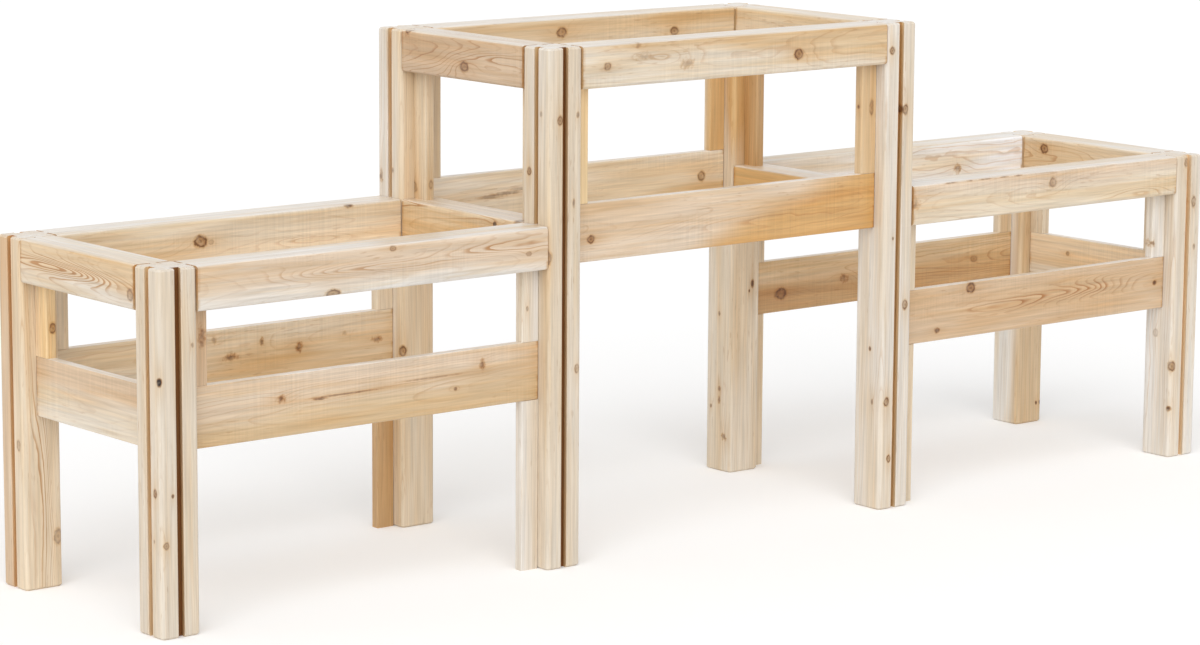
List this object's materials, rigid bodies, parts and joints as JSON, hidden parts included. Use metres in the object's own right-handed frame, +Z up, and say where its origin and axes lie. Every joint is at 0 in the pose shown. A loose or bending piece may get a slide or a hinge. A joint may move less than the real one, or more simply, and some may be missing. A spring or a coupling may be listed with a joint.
{
  "type": "raised garden bed",
  "caption": "Slot-together softwood planter frame: a tall centre bed flanked by lower beds, dovetail-grooved posts holding tongued top and lower rails.",
  "frame": {"origin": "centre of the footprint, on the floor under the feet", "axes": "+Z up, +X along the row of beds to the right as seen from the front, +Y from front to back"},
  "size_m": [2.468, 0.501, 0.918],
  "materials": {
    "post_wood": "planed, unfinished softwood",
    "top_rail_wood": "planed, unfinished softwood",
    "lower_rail_wood": "planed, unfinished softwood",
    "strip_wood": "planed, unfinished softwood"
  },
  "bodies": {
    "root": {"centre_back_lower_rail": "lower_rail_wood", "centre_back_spacer_left": "strip_wood", "centre_back_spacer_right": "strip_wood", "centre_back_top_rail": "top_rail_wood", "centre_front_lower_rail": "lower_rail_wood", "centre_front_spacer_left": "strip_wood", "centre_front_spacer_right": "strip_wood", "centre_front_top_rail": "top_rail_wood", "centre_left_spacer_back": "strip_wood", "centre_left_spacer_front": "strip_wood", "centre_left_top_rail": "top_rail_wood", "centre_post_left_back": "post_wood", "centre_post_left_front": "post_wood", "centre_post_right_back": "post_wood", "centre_post_right_front": "post_wood", "centre_right_spacer_back": "strip_wood", "centre_right_spacer_front": "strip_wood", "centre_right_top_rail": "top_rail_wood", "end_post_left_back": "post_wood", "end_post_left_front": "post_wood", "end_post_right_back": "post_wood", "end_post_right_front": "post_wood", "left_back_batten": "strip_wood", "left_back_lower_rail": "lower_rail_wood", "left_back_spacer_inner": "strip_wood", "left_back_spacer_outer": "strip_wood", "left_back_top_rail": "top_rail_wood", "left_end_lower_rail": "lower_rail_wood", "left_end_spacer_back": "strip_wood", "left_end_spacer_front": "strip_wood", "left_end_top_rail": "top_rail_wood", "left_front_batten": "strip_wood", "left_front_lower_rail": "lower_rail_wood", "left_front_spacer_inner": "strip_wood", "left_front_spacer_outer": "strip_wood", "left_front_top_rail": "top_rail_wood", "left_inner_top_rail": "top_rail_wood", "right_back_batten": "strip_wood", "right_back_lower_rail": "lower_rail_wood", "right_back_spacer_inner": "strip_wood", "right_back_spacer_outer": "strip_wood", "right_back_top_rail": "top_rail_wood", "right_end_lower_rail": "lower_rail_wood", "right_end_spacer_back": "strip_wood", "right_end_spacer_front": "strip_wood", "right_end_top_rail": "top_rail_wood", "right_front_batten": "strip_wood", "right_front_lower_rail": "lower_rail_wood", "right_front_spacer_inner": "strip_wood", "right_front_spacer_outer": "strip_wood", "right_front_top_rail": "top_rail_wood", "right_inner_top_rail": "top_rail_wood"}
  },
  "joints": []
}
